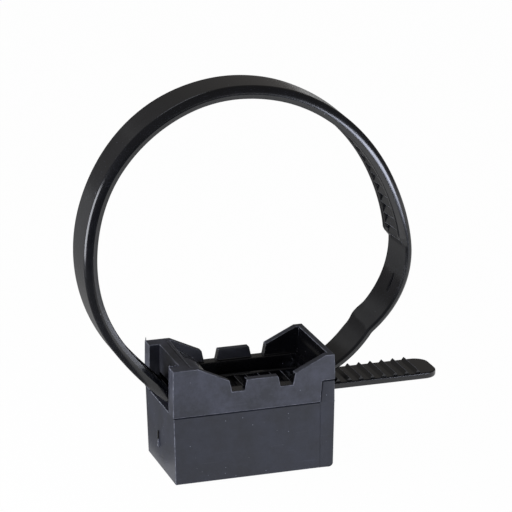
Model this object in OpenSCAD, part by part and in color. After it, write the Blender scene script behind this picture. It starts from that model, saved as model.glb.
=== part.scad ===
// Conduit clip: a moulded saddle and the ratchet strap that grows out of its end wall,
// drawn with the strap closed round the largest conduit that it takes.
// X runs along the saddle, Y across it and Z up. The origin is the middle of the base.

/* [Saddle] */
// Length of the saddle at the parting line
body_l = 34; // [31:0.5:40]
// Width of the saddle at the parting line
body_w = 21; // [19:0.5:26]
// Height of the saddle
body_h = 24.2; // [23.5:0.1:27]
// Height of the parting line, which is also the sill that the strap runs over
seam_z = 14.4; // [12:0.1:15]
// Draft of the lower walls on each side, from the parting line down to the base
draft = 0.3; // [0.05:0.05:0.6]
// How far the upper half stands proud of the lower half at the parting line
lip = 0.16; // [0.04:0.02:0.3]
// Thickness of the upper side walls and of the end plate
wall_t = 1.7; // [1.2:0.1:2.2]
// Thickness of the lower side walls
side_t = 2.5; // [2:0.1:3]
// Thickness of the lower end walls, under the sills
end_t = 2.2; // [1.6:0.1:3]
// Thickness of the floor
floor_t = 3; // [2:0.1:4]
// Thickness across the saddle of the corner posts beside each strap slot
post_t = 3.4; // [2.6:0.1:4]
// Depth of the rebate that thins the rim of the end plate
rim_step = 0.5; // [0.2:0.1:0.8]
// Height of the thinned rim of the end plate
rim_h = 2.1; // [1:0.1:3]
// Radius under the foot of the tail end
heel_r = 0.9; // [0.3:0.1:1.5]

/* [Stepped parting line] */
// Width at the bottom of the end posts that belong to the lower half
step_w = 3.2; // [2.5:0.1:4]
// Lean of the shut-off face beside the end posts
step_lean = 0.5; // [0.1:0.1:1]
// Height of the end posts above the parting line
step_rise = 4.5; // [4:0.1:5.5]

/* [Cradle] */
// Offset of the cradle's middle from the middle of the saddle
cradle_x = 1.65; // [0:0.05:2.5]
// Fall from the top of the walls to the foot of the cradle's slopes
slope_drop = 3.1; // [2:0.1:4]
// Length of each slope along the saddle
slope_run = 6.5; // [5:0.1:7]
// Half the width of the merlon in the middle of each wall, at its top
merlon_half = 3.3; // [2.6:0.1:3.5]
// Fall from the top of the walls to the top of the merlon
merlon_drop = 3.25; // [2.5:0.05:4]
// Width of a notch at its bottom
notch_w = 2.65; // [2:0.05:3]
// Fall from the top of the walls to the bottom of a notch
notch_drop = 5.5; // [4.8:0.1:6]
// Lean of a notch's sides
notch_lean = 0.5; // [0.1:0.05:0.8]

/* [Fixing] */
// Diameter of the fixing hole in the floor
hole_d = 6.5; // [4:0.1:8]

/* [Pawl] */
// Height of the strap's entry between the sill and the lintel
entry_h = 3.8; // [3.4:0.1:4.5]
// Thickness of the lintel over the entry
lintel_t = 1.8; // [1.2:0.1:2.4]
// Length of the ramp's steep part behind the lintel
knee_run = 2.5; // [2:0.1:3]
// Fall of the ramp's steep part
knee_drop = 2.5; // [2:0.1:3]
// Reach of the pawl from the face of the lintel
pawl_reach = 7.95; // [7.5:0.05:8.2]
// Slope of the pawl below the horizontal
pawl_slope = 27; // [22:1:30]
// Radius of the pawl's nose
nose_r = 1.2; // [0.8:0.1:1.4]
// Distance from the nose back to the steep face of the pawl's tooth
tooth_back = 1; // [0.05:0.05:2]
// Thickness of the pawl
pawl_t = 1.6; // [1.2:0.1:2]
// Width of the pawl between its two slits
pawl_w = 10.8; // [9.8:0.1:12]
// Width of each slit beside the pawl
slit_w = 0.6; // [0.4:0.1:1]
// Distance from the face of the lintel to the closed end of the slits
slit_from = 4.5; // [4:0.1:5]
// Clearance between the pawl's tooth and the rack
pawl_gap = 0.2; // [0.1:0.05:0.3]

/* [Strap] */
// Width of the strap
strap_w = 9.6; // [8.4:0.1:10.4]
// Thickness of the smooth part by the root
smooth_t = 1.5; // [1.3:0.05:1.7]
// Thickness of the rack under its teeth
base_t = 1.85; // [1.75:0.05:2]
// Height of the side rails over the outer face
rail_h = 2.6; // [2.4:0.05:2.8]
// Width of each side rail
rail_w = 1.5; // [1.3:0.1:1.8]
// How far the outside of the rails leans in from the parting line to their top
rail_lean = 0.45; // [0.2:0.05:0.6]
// Chamfer on the inner edges of the smooth part
smooth_ch = 0.3; // [0.1:0.05:0.3]
// Radius of the strap's rounded edges
edge_r = 1.05; // [0.9:0.05:1.1]
// Depth of the rack's parting line, from the outer face
part_d = 1.9; // [1.7:0.05:2]
// Depth of the smooth part's parting line, from the outer face
smooth_d = 1.15; // [1.1:0.05:1.2]
// How far the inner half of the strap is set in at its parting line
strap_lip = 0.08; // [0.04:0.02:0.14]
// Length of the taper where the rails start
taper_l = 1.8; // [1:0.1:3]
// Pitch of the teeth and of the tail's ridges
pitch = 2.5; // [2.2:0.1:3]
// Height of the teeth
tooth_h = 0.65; // [0.4:0.05:0.7]
// Length of a tooth's long slope
tooth_l = 2; // [1.6:0.1:2.1]
// Clearance under the strap where it crosses the sills
strap_gap = 0.12; // [0.1:0.02:0.4]

/* [Loop] */
// Outer radius of the loop
loop_r = 33.6; // [31:0.1:36]
// Offset of the loop's centre from the middle of the saddle
loop_x = 0.4; // [-1:0.1:1]
// How far the loop's circle dips below the strap's straight run
loop_dip = 1.67; // [1:0.01:2.5]
// Radius of the upper shoulder on the root's side
shoulder_r = 30.3; // [28:0.1:31]
// Bearing at which the shoulder meets the loop
shoulder_from = 100; // [95:1:110]
// Radius of the flank on the root's side
flank_r = 39.4; // [37:0.1:42]
// Bearing at which the flank meets the shoulder
flank_from = 65.6; // [60:0.1:70]
// Radius of the smooth part
rise_r = 21.25; // [19:0.05:24]
// Bearing at which the smooth part meets the flank
rise_from = 3.3; // [1:0.1:8]
// Bearing of the crease, from the centre of the smooth part
crease_a = -52; // [-54:1:-46]
// Radius of the crease, which turns the other way
crease_r = 3; // [2.5:0.1:5]
// Radius of the stretch between the root bend and the crease
riser_r = 23.4; // [20:0.1:28]
// Radius of the bend at the root
root_r = 4.25; // [3.5:0.05:5]
// Height of the tail's slot, from the sill to the end plate
slot_h = 2.7; // [2.4:0.05:3]
// Height of the strap's root above the slot
root_rise = 0.3; // [0.1:0.05:0.5]
// Radius of the stretch that leads into the saddle
entry_r = 63.75; // [55:0.25:80]
// Radius of the bend over the sill
sill_r = 5.3; // [4.5:0.1:6]
// Distance from the end of the saddle to the centre of the bend over the sill
sill_in = 3.7; // [3.2:0.1:4.2]

/* [Tail] */
// Length of the tail beyond the saddle
tail_l = 25; // [18:0.1:34]
// Thickness of the tail
tail_t = 1.35; // [1:0.05:1.5]
// Height of the grip ridges
ridge_h = 0.73; // [0.4:0.05:0.8]
// Width of a ridge at its foot
ridge_w = 1.2; // [0.8:0.05:1.5]
// Distance of the ridges' ends from the edges of the tail
ridge_in = 0.55; // [0.3:0.05:1]
// Plain length behind the tip
tip_plain = 4.6; // [3:0.1:6]
// Radius of the tip's corners
tip_r = 3; // [2:0.1:4]
// Distance inside the end of the saddle at which the rack becomes the tail
tail_in = 3.5; // [2.6:0.1:4.5]

/* [Hidden] */
$fn = 64;
// Overrun of a cut past the face that it opens
over = 1;
// Depth that a fused piece is sunk into the piece that carries it
bite = 0.4;
// Segments in the rounded corner of a section
corner_n = 8;
// Every second arc of the strap is slimmer by this much and laps into its neighbours
lap_step = 0.02;
// Length of each lap
lap_l = 0.25;

left_x = -body_l / 2;
right_x = body_l / 2;
step_z = seam_z + step_rise;
slot_z = seam_z + slot_h;
root_z = slot_z + root_rise;
lintel_x = left_x + end_t;
lintel_z = seam_z + entry_h;
back_x = lintel_x + lintel_t;
notch_z = body_h - notch_drop;
foot_z = body_h - slope_drop;
slot_w = body_w - 2 * post_t;
cavity_w = body_w - 2 * wall_t;
plate_x = right_x - wall_t;
tip_x = right_x + tail_l;
tail_x = right_x - tail_in;
run_z = seam_z + strap_gap;
rack_w = strap_w - 2 * rail_w;

// A unit vector at a bearing, and the bearing of a vector from 0 to 360 degrees
function dir(a) = [cos(a), sin(a)];
function bearing(v) = (atan2(v[1], v[0]) + 360) % 360;
// The angle that a length takes up on an arc
function turn(length, r) = length / r * 180 / PI;

// Point at distance rp from p and rq from q, on the left of the way from p to q
function meet(p, rp, q, rq) =
    let (d = norm(q - p), u = (q - p) / d, a = (rp * rp - rq * rq + d * d) / (2 * d))
    p + a * u + sqrt(rp * rp - a * a) * [-u[1], u[0]];

// Centres of the strap's arcs: each arc is tangent to the next, apart from the crease
loop_c = [loop_x, run_z + loop_r - loop_dip];
shoulder_c = loop_c + (loop_r - shoulder_r) * dir(shoulder_from);
flank_c = shoulder_c + (shoulder_r - flank_r) * dir(flank_from);
rise_c = flank_c + (flank_r - rise_r) * dir(rise_from);
root_c = [right_x - wall_t / 2, root_z + root_r];
riser_c = meet(root_c, riser_r - root_r, rise_c + rise_r * dir(crease_a), riser_r);
crease_c = meet(rise_c, rise_r + crease_r, riser_c, riser_r + crease_r);
sill_c = [left_x + sill_in, run_z + sill_r];
entry_c = meet(loop_c, entry_r - loop_r, sill_c, entry_r - sill_r);
entry_a = bearing(loop_c - entry_c);
sill_a = bearing(sill_c - entry_c);
root_a = bearing(root_c - riser_c);
riser_a = bearing(crease_c - riser_c);
rise_a = bearing(crease_c - rise_c);

// Arcs of the smooth part: the root's bend, the riser, the crease and the rise to the rack
SMOOTH = [
    [root_c, root_r, 270, root_a],
    [riser_c, riser_r, root_a, riser_a],
    [crease_c, -crease_r, rise_a - 180, riser_a - 180],
    [rise_c, rise_r, rise_a, rise_from + 360]
];
// Arcs of the rack, from the smooth part round to the straight run in the saddle
RACK = [
    [flank_c, flank_r, rise_from, flank_from],
    [shoulder_c, shoulder_r, flank_from, shoulder_from],
    [loop_c, loop_r, shoulder_from, entry_a],
    [entry_c, entry_r, entry_a, sill_a],
    [sill_c, sill_r, sill_a, 270]
];
function arc_l(arc) = arc[1] * (arc[3] - arc[2]) * PI / 180;

// Spot on the rack's outer face at a distance along it, with the heading there
function spot(s, i = 0) =
    i == len(RACK) ? [[sill_c[0] + s, run_z], 0] :
    s > arc_l(RACK[i]) ? spot(s - arc_l(RACK[i]), i + 1) :
    let (a = RACK[i][2] + turn(s, RACK[i][1]))
    [RACK[i][0] + RACK[i][1] * dir(a), a + 90];
function total(list, i = 0) = i == len(list) ? 0 : list[i] + total(list, i + 1);

// Places of the teeth: one steep face stands against the pawl's tooth
pawl_x = lintel_x + pawl_reach;
stop_x = pawl_x - tooth_back;
stop_s = total([for (arc = RACK) arc_l(arc)]) + stop_x + pawl_gap - sill_c[0];
first_tooth = -floor(stop_s / pitch);
last_tooth = floor((tail_x - tooth_l - stop_x - pawl_gap) / pitch);

// Sections of the strap as [depth from the outer face, place across it], d slimmer all round
// The rounded edge ends at a parting line, and the side goes on from there a little further in
function edge_turn(deep) = acos((edge_r - deep) / edge_r);
function side_in(deep) = edge_r * (1 - sin(edge_turn(deep))) + strap_lip;
function half_edge(d, deep) =
    let (r = edge_r - d, a = edge_turn(deep))
    concat(
        [for (i = [0 : corner_n]) [edge_r, edge_r] - r * dir(a * i / corner_n)],
        [[edge_r - r * cos(a), side_in(deep) + d]]);
function smooth_half(d) = concat(half_edge(d, smooth_d), [
    [smooth_t - smooth_ch, side_in(smooth_d) + d],
    [smooth_t - d, side_in(smooth_d) + smooth_ch]
]);
function rail_half(d) = concat(half_edge(d, part_d), [
    [rail_h - d, side_in(part_d) + rail_lean],
    [rail_h - d, rail_w - d],
    [base_t - d, rail_w - d]
]);
// Both halves of a section, from half of it given as [depth, distance in from the edge]
function whole(half) = concat(
    [for (p = half) [p[0], strap_w / 2 - p[1]]],
    [for (i = [len(half) - 1 : -1 : 0]) [half[i][0], half[i][1] - strap_w / 2]]);
function flat_section(d) = whole(smooth_half(d));
function rail_section(d) = whole(rail_half(d));

// A shape drawn in the XZ plane, given a width across the saddle
module across(width) {
    rotate([90, 0, 0])
        linear_extrude(width, center = true)
            children();
}

// A shape drawn along a strap's heading, placed at a spot on its outer face
module at_spot(place, width) {
    translate([place[0][0], 0, place[0][1]])
        rotate([0, -place[1], 0])
            across(width)
                children();
}

// A block that tapers evenly from its foot to its top
module drafted_block(foot, top, height) {
    intersection() {
        across(2 * body_w)
            polygon([[-foot[0], 0], [foot[0], 0], [top[0], height], [-top[0], height]]);
        rotate([90, 0, 90])
            linear_extrude(2 * body_l, center = true)
                polygon([[-foot[1], 0], [foot[1], 0], [top[1], height], [-top[1], height]]);
    }
}

// The strip of the tail end, up to the step, that the lower half moulds
module step_zone(foot_z) {
    across(2 * body_w)
        polygon([
            [right_x - step_w, foot_z],
            [right_x - step_w + step_lean, step_z],
            [right_x + over, step_z],
            [right_x + over, foot_z]
        ]);
}

// The saddle's outside, with the upper half proud at the stepped parting line
module outer_form() {
    half = [body_l, body_w] / 2;
    drafted_block(half - [draft, draft], half, seam_z);
    difference() {
        translate([0, 0, seam_z])
            drafted_block(half + [lip, lip], half, body_h - seam_z);
        step_zone(seam_z - over);
    }
    intersection() {
        step_zone(seam_z - bite);
        translate([0, 0, step_z / 2])
            cube([body_l - 2 * lap_step, body_w - 2 * lap_step, 2 * step_z], center = true);
    }
}

// The space over the cradle: slopes, notches and the merlon between them
module cradle_cut() {
    notch_far = merlon_half + notch_lean + notch_w;
    side = [
        [merlon_half, body_h - merlon_drop],
        [merlon_half + notch_lean, notch_z],
        [notch_far, notch_z],
        [notch_far + notch_lean, foot_z],
        [notch_far + notch_lean + slope_run, body_h],
        [notch_far + notch_lean + slope_run, body_h + over]
    ];
    n = len(side) - 1;
    translate([cradle_x, 0, 0])
        across(2 * body_w)
            polygon(concat(side, [for (i = [n : -1 : 0]) [-side[i][0], side[i][1]]]));
}

// The hollow of the saddle, its two strap slots and the fixing hole
module hollow() {
    low_w = body_w - 2 * side_t;
    translate([back_x, -cavity_w / 2, notch_z])
        cube([plate_x - back_x, cavity_w, body_h]);
    translate([back_x, -low_w / 2, floor_t])
        cube([right_x - end_t - back_x, low_w, body_h]);
    translate([lintel_x, -low_w / 2, floor_t])
        cube([body_l / 2, low_w, lintel_z - floor_t]);
    translate([plate_x - over, -cavity_w / 2, body_h - rim_h])
        cube([over + rim_step, cavity_w, body_h]);
    translate([left_x - over, -slot_w / 2, seam_z])
        cube([end_t + over, slot_w, body_h]);
    translate([left_x - over, -slot_w / 2, seam_z])
        cube([end_t + lintel_t + 2 * over, slot_w, entry_h]);
    translate([right_x - end_t - over, -slot_w / 2, seam_z])
        cube([end_t + 2 * over, slot_w, slot_h]);
    translate([0, 0, -over])
        cylinder(h = floor_t + 2 * over, d = hole_d);
}

// The corner taken off under the foot of the tail end
module heel_cut() {
    heel_x = right_x - draft;
    across(2 * body_w)
        difference() {
            translate([heel_x - heel_r, -over])
                square(heel_r + over);
            translate([heel_x - heel_r, heel_r])
                circle(heel_r);
        }
}

module saddle() {
    difference() {
        outer_form();
        cradle_cut();
        hollow();
        heel_cut();
    }
}

// The ramp behind the lintel, and the sprung pawl that two slits cut free in its middle
module pawl() {
    fall = tan(pawl_slope);
    thick = pawl_t / cos(pawl_slope);
    ramp_z = body_h - bite / 4;
    knee = [back_x + knee_run, ramp_z - knee_drop];
    nose = [pawl_x - nose_r, knee[1] - (pawl_x - nose_r - knee[0]) * fall - nose_r / cos(pawl_slope)];
    tooth_z = run_z + base_t + pawl_gap;
    difference() {
        across(cavity_w + 2 * bite)
            polygon(concat(
                [[back_x - bite, ramp_z], [back_x, ramp_z], knee],
                [for (i = [0 : corner_n]) nose + nose_r * dir((90 - pawl_slope) * (1 - i / corner_n))],
                [
                    [pawl_x, knee[1] - (pawl_x - knee[0]) * fall - thick],
                    [back_x - bite, knee[1] - (back_x - bite - knee[0]) * fall - thick]
                ]));
        for (s = [-1, 1])
            translate([lintel_x + slit_from, s * (pawl_w + slit_w) / 2 - slit_w / 2, seam_z])
                cube([pawl_reach, slit_w, body_h]);
    }
    across(rack_w - 2 * pawl_gap)
        polygon([
            [stop_x, nose[1]],
            [stop_x, tooth_z],
            [stop_x - tooth_h, tooth_z],
            [stop_x - 2 * pawl_t, nose[1] + 2 * pawl_t * fall - bite]
        ]);
}

// One arc of the strap, its outer face at the arc's radius; a slim one laps at both ends
module bend(arc, section, slim) {
    lap = slim ? turn(lap_l, arc[1]) : 0;
    translate([arc[0][0], 0, arc[0][1]])
        rotate([0, lap - arc[2], 0])
            rotate([90, 0, 0])
                rotate_extrude(angle = arc[3] - arc[2] + 2 * lap)
                    polygon([for (p = section) [abs(arc[1] - p[0]), p[1]]]);
}

// The smooth part from the end plate to the rack, with its crease
module strap_root() {
    bend(SMOOTH[0], flat_section(0), false);
    bend(SMOOTH[1], flat_section(lap_step), true);
    bend(SMOOTH[2], flat_section(0), false);
    bend(SMOOTH[3], flat_section(lap_step), true);
}

// The space over the taper where the rack leaves the smooth part
module taper_cut() {
    at_spot(spot(0), 2 * strap_w)
        polygon([
            [-over, smooth_t + bite / 8],
            [0, smooth_t + bite / 8],
            [taper_l, rail_h],
            [taper_l, 2 * rail_h],
            [-over, 2 * rail_h]
        ]);
}

// The rails and web of the rack
module rack_web() {
    difference() {
        bend(RACK[0], rail_section(0), false);
        taper_cut();
    }
    bend(RACK[1], rail_section(lap_step), true);
    bend(RACK[2], rail_section(0), false);
    bend(RACK[3], rail_section(lap_step), true);
    bend(RACK[4], rail_section(0), false);
    translate([sill_c[0] - lap_l, 0, run_z])
        rotate([90, 0, 90])
            linear_extrude(tail_x - sill_c[0] + 2 * lap_l)
                polygon([for (p = rail_section(lap_step)) [p[1], p[0]]]);
}

// The sawteeth between the rails, steep towards the root
module rack_teeth() {
    foot_l = tooth_l * (1 + bite / 2 / tooth_h);
    difference() {
        for (k = [first_tooth : last_tooth])
            at_spot(spot(stop_s + k * pitch), rack_w + 2 * bite)
                polygon([
                    [0, base_t - bite],
                    [0, base_t + tooth_h],
                    [foot_l, base_t - bite / 2],
                    [foot_l, base_t - bite]
                ]);
        taper_cut();
    }
}

// The free tail with its rounded tip and grip ridges
module tail() {
    half = strap_w / 2;
    translate([0, 0, run_z])
        linear_extrude(tail_t)
            polygon(concat(
                [[tail_x, half], [tail_x, -half]],
                [for (a = [-90 : 15 : 0]) [tip_x - tip_r, tip_r - half] + tip_r * dir(a)],
                [for (a = [0 : 15 : 90]) [tip_x - tip_r, half - tip_r] + tip_r * dir(a)]));
    for (x = [tip_x - tip_plain : -pitch : tail_x + ridge_w])
        translate([x, 0, run_z + tail_t])
            across(strap_w - 2 * ridge_in)
                polygon([
                    [-ridge_w * (1 + bite / ridge_h) / 2, -bite],
                    [ridge_w * (1 + bite / ridge_h) / 2, -bite],
                    [0, ridge_h]
                ]);
}

module conduit_clip() {
    color("#2b2d31") {
        saddle();
        pawl();
        strap_root();
        rack_web();
        rack_teeth();
        tail();
    }
}

conduit_clip();
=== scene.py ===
"""Looks of a moulded conduit clip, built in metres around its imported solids."""

import logging
import math
from dataclasses import dataclass
from enum import Enum

import bmesh
import bpy
from bmesh.types import BMEdge, BMesh, BMFace, BMVert
from mathutils import Matrix, Vector
from mathutils.geometry import intersect_point_line


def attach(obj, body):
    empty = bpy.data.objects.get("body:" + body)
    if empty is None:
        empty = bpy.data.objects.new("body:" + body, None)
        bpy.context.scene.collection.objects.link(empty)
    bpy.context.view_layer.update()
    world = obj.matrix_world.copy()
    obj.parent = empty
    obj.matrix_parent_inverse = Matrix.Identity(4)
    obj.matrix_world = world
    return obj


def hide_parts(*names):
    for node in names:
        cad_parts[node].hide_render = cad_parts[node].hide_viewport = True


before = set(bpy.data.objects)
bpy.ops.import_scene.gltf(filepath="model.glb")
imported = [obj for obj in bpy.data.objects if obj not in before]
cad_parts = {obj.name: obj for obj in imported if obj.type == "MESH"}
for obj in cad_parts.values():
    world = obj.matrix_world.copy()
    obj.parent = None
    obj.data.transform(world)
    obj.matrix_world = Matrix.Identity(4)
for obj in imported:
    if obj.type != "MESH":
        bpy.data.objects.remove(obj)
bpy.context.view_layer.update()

LOG = logging.getLogger("conduit_clip")
MM = 0.001
NODE = "conduit_clip"
BODY = "root"
ACROSS = Vector((0.0, -1.0, 0.0))
# Bearing of straight down, in degrees from +X towards +Z
DOWN = 270.0
# Lengths in mm below this count as none
TOUCH = 0.01
# Turn between two faces, in radians, over which their edge counts as a corner
CORNER_TURN = 1.0


def direction(bearing: float) -> Vector:
    """Unit vector in the XZ plane at a bearing in degrees, from +X towards +Z."""
    return Vector((math.cos(math.radians(bearing)), 0.0, math.sin(math.radians(bearing))))


def bearing_of(vector: Vector) -> float:
    """Bearing of a vector in the XZ plane, from 0 to 360 degrees."""
    return math.degrees(math.atan2(vector.z, vector.x)) % 360.0


def meeting_point(p: Vector, from_p: float, q: Vector, from_q: float) -> Vector:
    """Point at given distances from two points, on the left of the way from p to q.

    Args:
        p: First point, in the XZ plane.
        from_p: Distance from the first point.
        q: Second point, in the XZ plane.
        from_q: Distance from the second point.

    Returns:
        The point, in the XZ plane.
    """
    gap = (q - p).length
    along = (q - p) / gap
    reach = (from_p**2 - from_q**2 + gap**2) / (2 * gap)
    left = Vector((-along.z, 0.0, along.x))
    return p + reach * along + math.sqrt(from_p**2 - reach**2) * left


def linear_colour(code: str) -> tuple[float, float, float, float]:
    """Turns an sRGB hex colour into linear RGBA.

    Args:
        code: Colour as "#rrggbb".

    Returns:
        Linear red, green and blue, and an alpha of 1.
    """
    parts = [int(code[i : i + 2], 16) / 255 for i in (1, 3, 5)]
    linear = [c / 12.92 if c <= 0.04045 else ((c + 0.055) / 1.055) ** 2.4 for c in parts]
    return (linear[0], linear[1], linear[2], 1.0)


def add_node(
    tree: bpy.types.NodeTree,
    kind: str,
    settings: dict[str, object] | None = None,
    inputs: dict[str | int, object] | None = None,
) -> bpy.types.Node:
    """Adds a node with its settings, its constant inputs and its links.

    Args:
        tree: Node tree that takes the node.
        kind: Blender's name of the node type.
        settings: Attributes of the node.
        inputs: Values or output sockets by the input's name or number.

    Returns:
        The new node.
    """
    node = tree.nodes.new(kind)
    for name, value in (settings or {}).items():
        setattr(node, name, value)
    for key, value in (inputs or {}).items():
        if isinstance(value, bpy.types.NodeSocket):
            tree.links.new(value, node.inputs[key])
        else:
            node.inputs[key].default_value = value
    return node


def bare_material(name: str) -> bpy.types.Material:
    """Makes a material with an empty node tree.

    Args:
        name: Name of the material.

    Returns:
        The new material.
    """
    material = bpy.data.materials.new(name)
    material.use_nodes = True
    material.node_tree.nodes.clear()
    return material


def mesh_from(bm: BMesh, name: str) -> bpy.types.Mesh:
    """Turns a finished bmesh into a mesh.

    Args:
        bm: The bmesh; it is freed.
        name: Name of the mesh.

    Returns:
        The new mesh.
    """
    mesh = bpy.data.meshes.new(name)
    bm.to_mesh(mesh)
    bm.free()
    return mesh


def linked_object(name: str, data: bpy.types.ID) -> bpy.types.Object:
    """Makes an object and puts it in the scene.

    Args:
        name: Name of the object.
        data: Its mesh, lamp or camera.

    Returns:
        The new object.
    """
    made = bpy.data.objects.new(name, data)
    bpy.context.scene.collection.objects.link(made)
    return made


@dataclass(frozen=True)
class Plastic:
    """Black glass-free nylon as moulded: a thin skin whose gloss follows the polish of the tool."""

    name: str
    colour: str
    mottle_colour: str
    roughness: float
    roughness_spread: float
    grain_mm: float
    grain_height_mm: float
    cloud_mm: float
    scuff_share: float
    dust_share: float

    IOR = 1.53
    CLOUD_DETAIL = 6.0
    CLOUD_ROUGHNESS = 0.72
    MOTTLE_SPAN = (0.4, 0.66)
    MOTTLE_MOST = 0.8
    GLOSS_SPAN = (0.3, 0.7)
    GRAIN_DETAIL = 2.0
    SCUFF_LENGTH_MM = 9.0
    SCUFF_WIDTH_MM = 0.35
    SCUFF_TURN = (0.3, 0.7, 0.2)
    SCUFF_SPAN = (0.68, 0.8)
    # Real grain and dust are a few hundredths of a millimetre across; both are drawn coarser, to show
    DUST_SPACING_MM = 1.2
    DUST_SPAN = (0.05, 0.09)
    DUST_COLOUR = "#7f838b"

    def material(self) -> bpy.types.Material:
        """Makes the node material of this finish.

        Returns:
            A material that reads Object coordinates only.
        """
        material = bare_material(self.name)
        tree = material.node_tree
        place = add_node(tree, "ShaderNodeTexCoord").outputs["Object"]
        cloud = add_node(
            tree,
            "ShaderNodeTexNoise",
            inputs={
                "Vector": place,
                "Scale": 1 / (self.cloud_mm * MM),
                "Detail": self.CLOUD_DETAIL,
                "Roughness": self.CLOUD_ROUGHNESS,
            },
        )
        scuff = self._scuffs(tree, place)
        dust = self._dust(tree, place)
        mottle = add_node(
            tree,
            "ShaderNodeMapRange",
            inputs={
                "Value": cloud.outputs["Fac"],
                "From Min": self.MOTTLE_SPAN[0],
                "From Max": self.MOTTLE_SPAN[1],
                "To Max": self.MOTTLE_MOST,
            },
        )
        layers = (
            (mottle.outputs["Result"], self.mottle_colour),
            (scuff, self.DUST_COLOUR),
            (dust, self.DUST_COLOUR),
        )
        colour: bpy.types.NodeSocket | tuple[float, ...] = linear_colour(self.colour)
        for share, code in layers:
            layer = add_node(
                tree,
                "ShaderNodeMix",
                {"data_type": "RGBA"},
                {"Factor": share, "A": colour, "B": linear_colour(code)},
            )
            colour = layer.outputs["Result"]
        gloss = add_node(
            tree,
            "ShaderNodeMapRange",
            inputs={
                "Value": cloud.outputs["Fac"],
                "From Min": self.GLOSS_SPAN[0],
                "From Max": self.GLOSS_SPAN[1],
                "To Min": self.roughness - self.roughness_spread,
                "To Max": self.roughness + self.roughness_spread,
            },
        )
        grain = add_node(
            tree,
            "ShaderNodeTexNoise",
            inputs={"Vector": place, "Scale": 1 / (self.grain_mm * MM), "Detail": self.GRAIN_DETAIL},
        )
        bump = add_node(
            tree,
            "ShaderNodeBump",
            inputs={
                "Height": grain.outputs["Fac"],
                "Distance": self.grain_height_mm * MM,
                "Strength": 1.0,
            },
        )
        shader = add_node(
            tree,
            "ShaderNodeBsdfPrincipled",
            inputs={
                "Base Color": colour,
                "Roughness": gloss.outputs["Result"],
                "Normal": bump.outputs["Normal"],
                "IOR": self.IOR,
            },
        )
        add_node(tree, "ShaderNodeOutputMaterial", inputs={"Surface": shader.outputs["BSDF"]})
        return material

    def _scuffs(self, tree: bpy.types.NodeTree, place: bpy.types.NodeSocket) -> bpy.types.NodeSocket:
        """Adds faint slanting handling marks.

        Args:
            tree: Node tree of the finish.
            place: Object coordinates.

        Returns:
            Socket with the share of marked skin.
        """
        long_way = 1 / (self.SCUFF_LENGTH_MM * MM)
        short_way = 1 / (self.SCUFF_WIDTH_MM * MM)
        turned = add_node(
            tree,
            "ShaderNodeMapping",
            inputs={
                "Vector": place,
                "Rotation": self.SCUFF_TURN,
                "Scale": (long_way, short_way, short_way),
            },
        )
        streak = add_node(
            tree,
            "ShaderNodeTexNoise",
            inputs={"Vector": turned.outputs["Vector"], "Scale": 1.0, "Detail": 1.0},
        )
        marked = add_node(
            tree,
            "ShaderNodeMapRange",
            inputs={
                "Value": streak.outputs["Fac"],
                "From Min": self.SCUFF_SPAN[0],
                "From Max": self.SCUFF_SPAN[1],
                "To Max": self.scuff_share,
            },
        )
        return marked.outputs["Result"]

    def _dust(self, tree: bpy.types.NodeTree, place: bpy.types.NodeSocket) -> bpy.types.NodeSocket:
        """Adds scattered pale specks of dust.

        Args:
            tree: Node tree of the finish.
            place: Object coordinates.

        Returns:
            Socket with the share of dust.
        """
        cells = add_node(
            tree,
            "ShaderNodeTexVoronoi",
            inputs={"Vector": place, "Scale": 1 / (self.DUST_SPACING_MM * MM)},
        )
        speck = add_node(
            tree,
            "ShaderNodeMapRange",
            inputs={
                "Value": cells.outputs["Distance"],
                "From Min": self.DUST_SPAN[0],
                "From Max": self.DUST_SPAN[1],
                "To Min": 1.0,
                "To Max": 0.0,
            },
        )
        chance = add_node(
            tree, "ShaderNodeSeparateColor", inputs={"Color": cells.outputs["Color"]}
        )
        chosen = add_node(
            tree,
            "ShaderNodeMath",
            {"operation": "GREATER_THAN"},
            {0: chance.outputs["Red"], 1: 1.0 - self.dust_share},
        )
        shown = add_node(
            tree,
            "ShaderNodeMath",
            {"operation": "MULTIPLY"},
            {0: speck.outputs["Result"], 1: chosen.outputs["Value"]},
        )
        return shown.outputs["Value"]


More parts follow.
